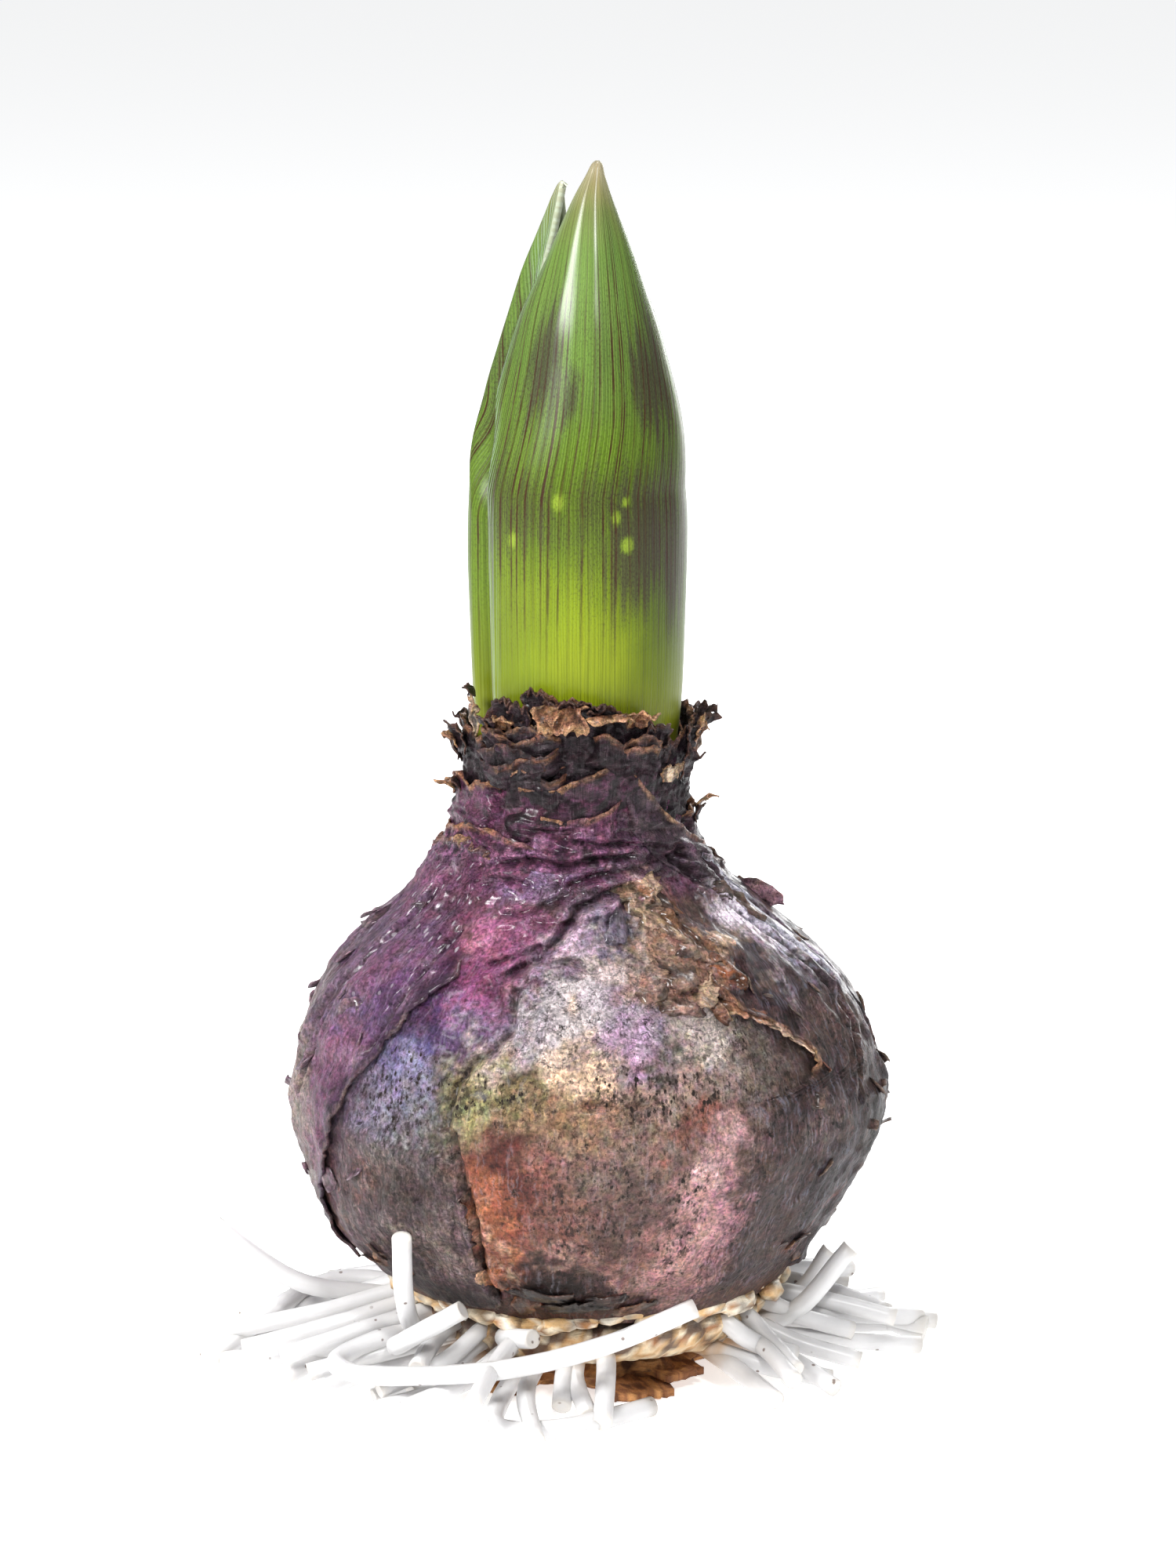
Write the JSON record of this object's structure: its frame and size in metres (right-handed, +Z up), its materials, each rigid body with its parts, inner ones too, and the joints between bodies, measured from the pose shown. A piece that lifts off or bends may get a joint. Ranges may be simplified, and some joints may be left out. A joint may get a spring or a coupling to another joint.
{
  "type": "sprouting hyacinth bulb",
  "caption": "Squat hyacinth bulb in torn papery tunics with a closed leaf shoot on top and a skirt of cut white roots that it stands on.",
  "frame": {"origin": "middle of the flat underside of the bulb's old base, on the surface that it stands on", "axes": "+Z up along the bulb and its shoot, -Y towards the picture's viewer, +X to the viewer's right"},
  "size_m": [0.0749, 0.0654, 0.1208],
  "materials": {
    "bulb_scales": "thin dry skin over the fleshy scales, mottled grey, lilac, pink and rust, satin with a silvery sheen",
    "purple_tunic": "papery, purple to magenta with tiny pale dashes, satin",
    "brown_tunic": "papery, dark brown with fine upright fibres, satin",
    "grey_tunic": "papery, slate grey, matt and cracked",
    "dried_scale_tops": "brittle torn scale tops, brown-black with tan torn edges, dull",
    "leaf": "smooth waxy leaf, lime at the foot to mid green, fine dark purple veins, glossy",
    "flower_buds": "pale green closed buds, soft satin",
    "roots": "moist translucent white roots, tan and waxy on the basal plate",
    "cork": "corky brown remains of the old plate, rough and dull"
  },
  "bodies": {
    "root": {"bulb": "bulb_scales", "tunic_left": "purple_tunic", "tunic_right": "brown_tunic", "tunic_lower": "grey_tunic", "neck_collar": "dried_scale_tops", "leaf_front": "leaf", "leaf_left": "leaf", "leaf_rear": "leaf", "flower_spike": "flower_buds", "root_crown": "roots", "old_base": "cork"}
  },
  "joints": []
}
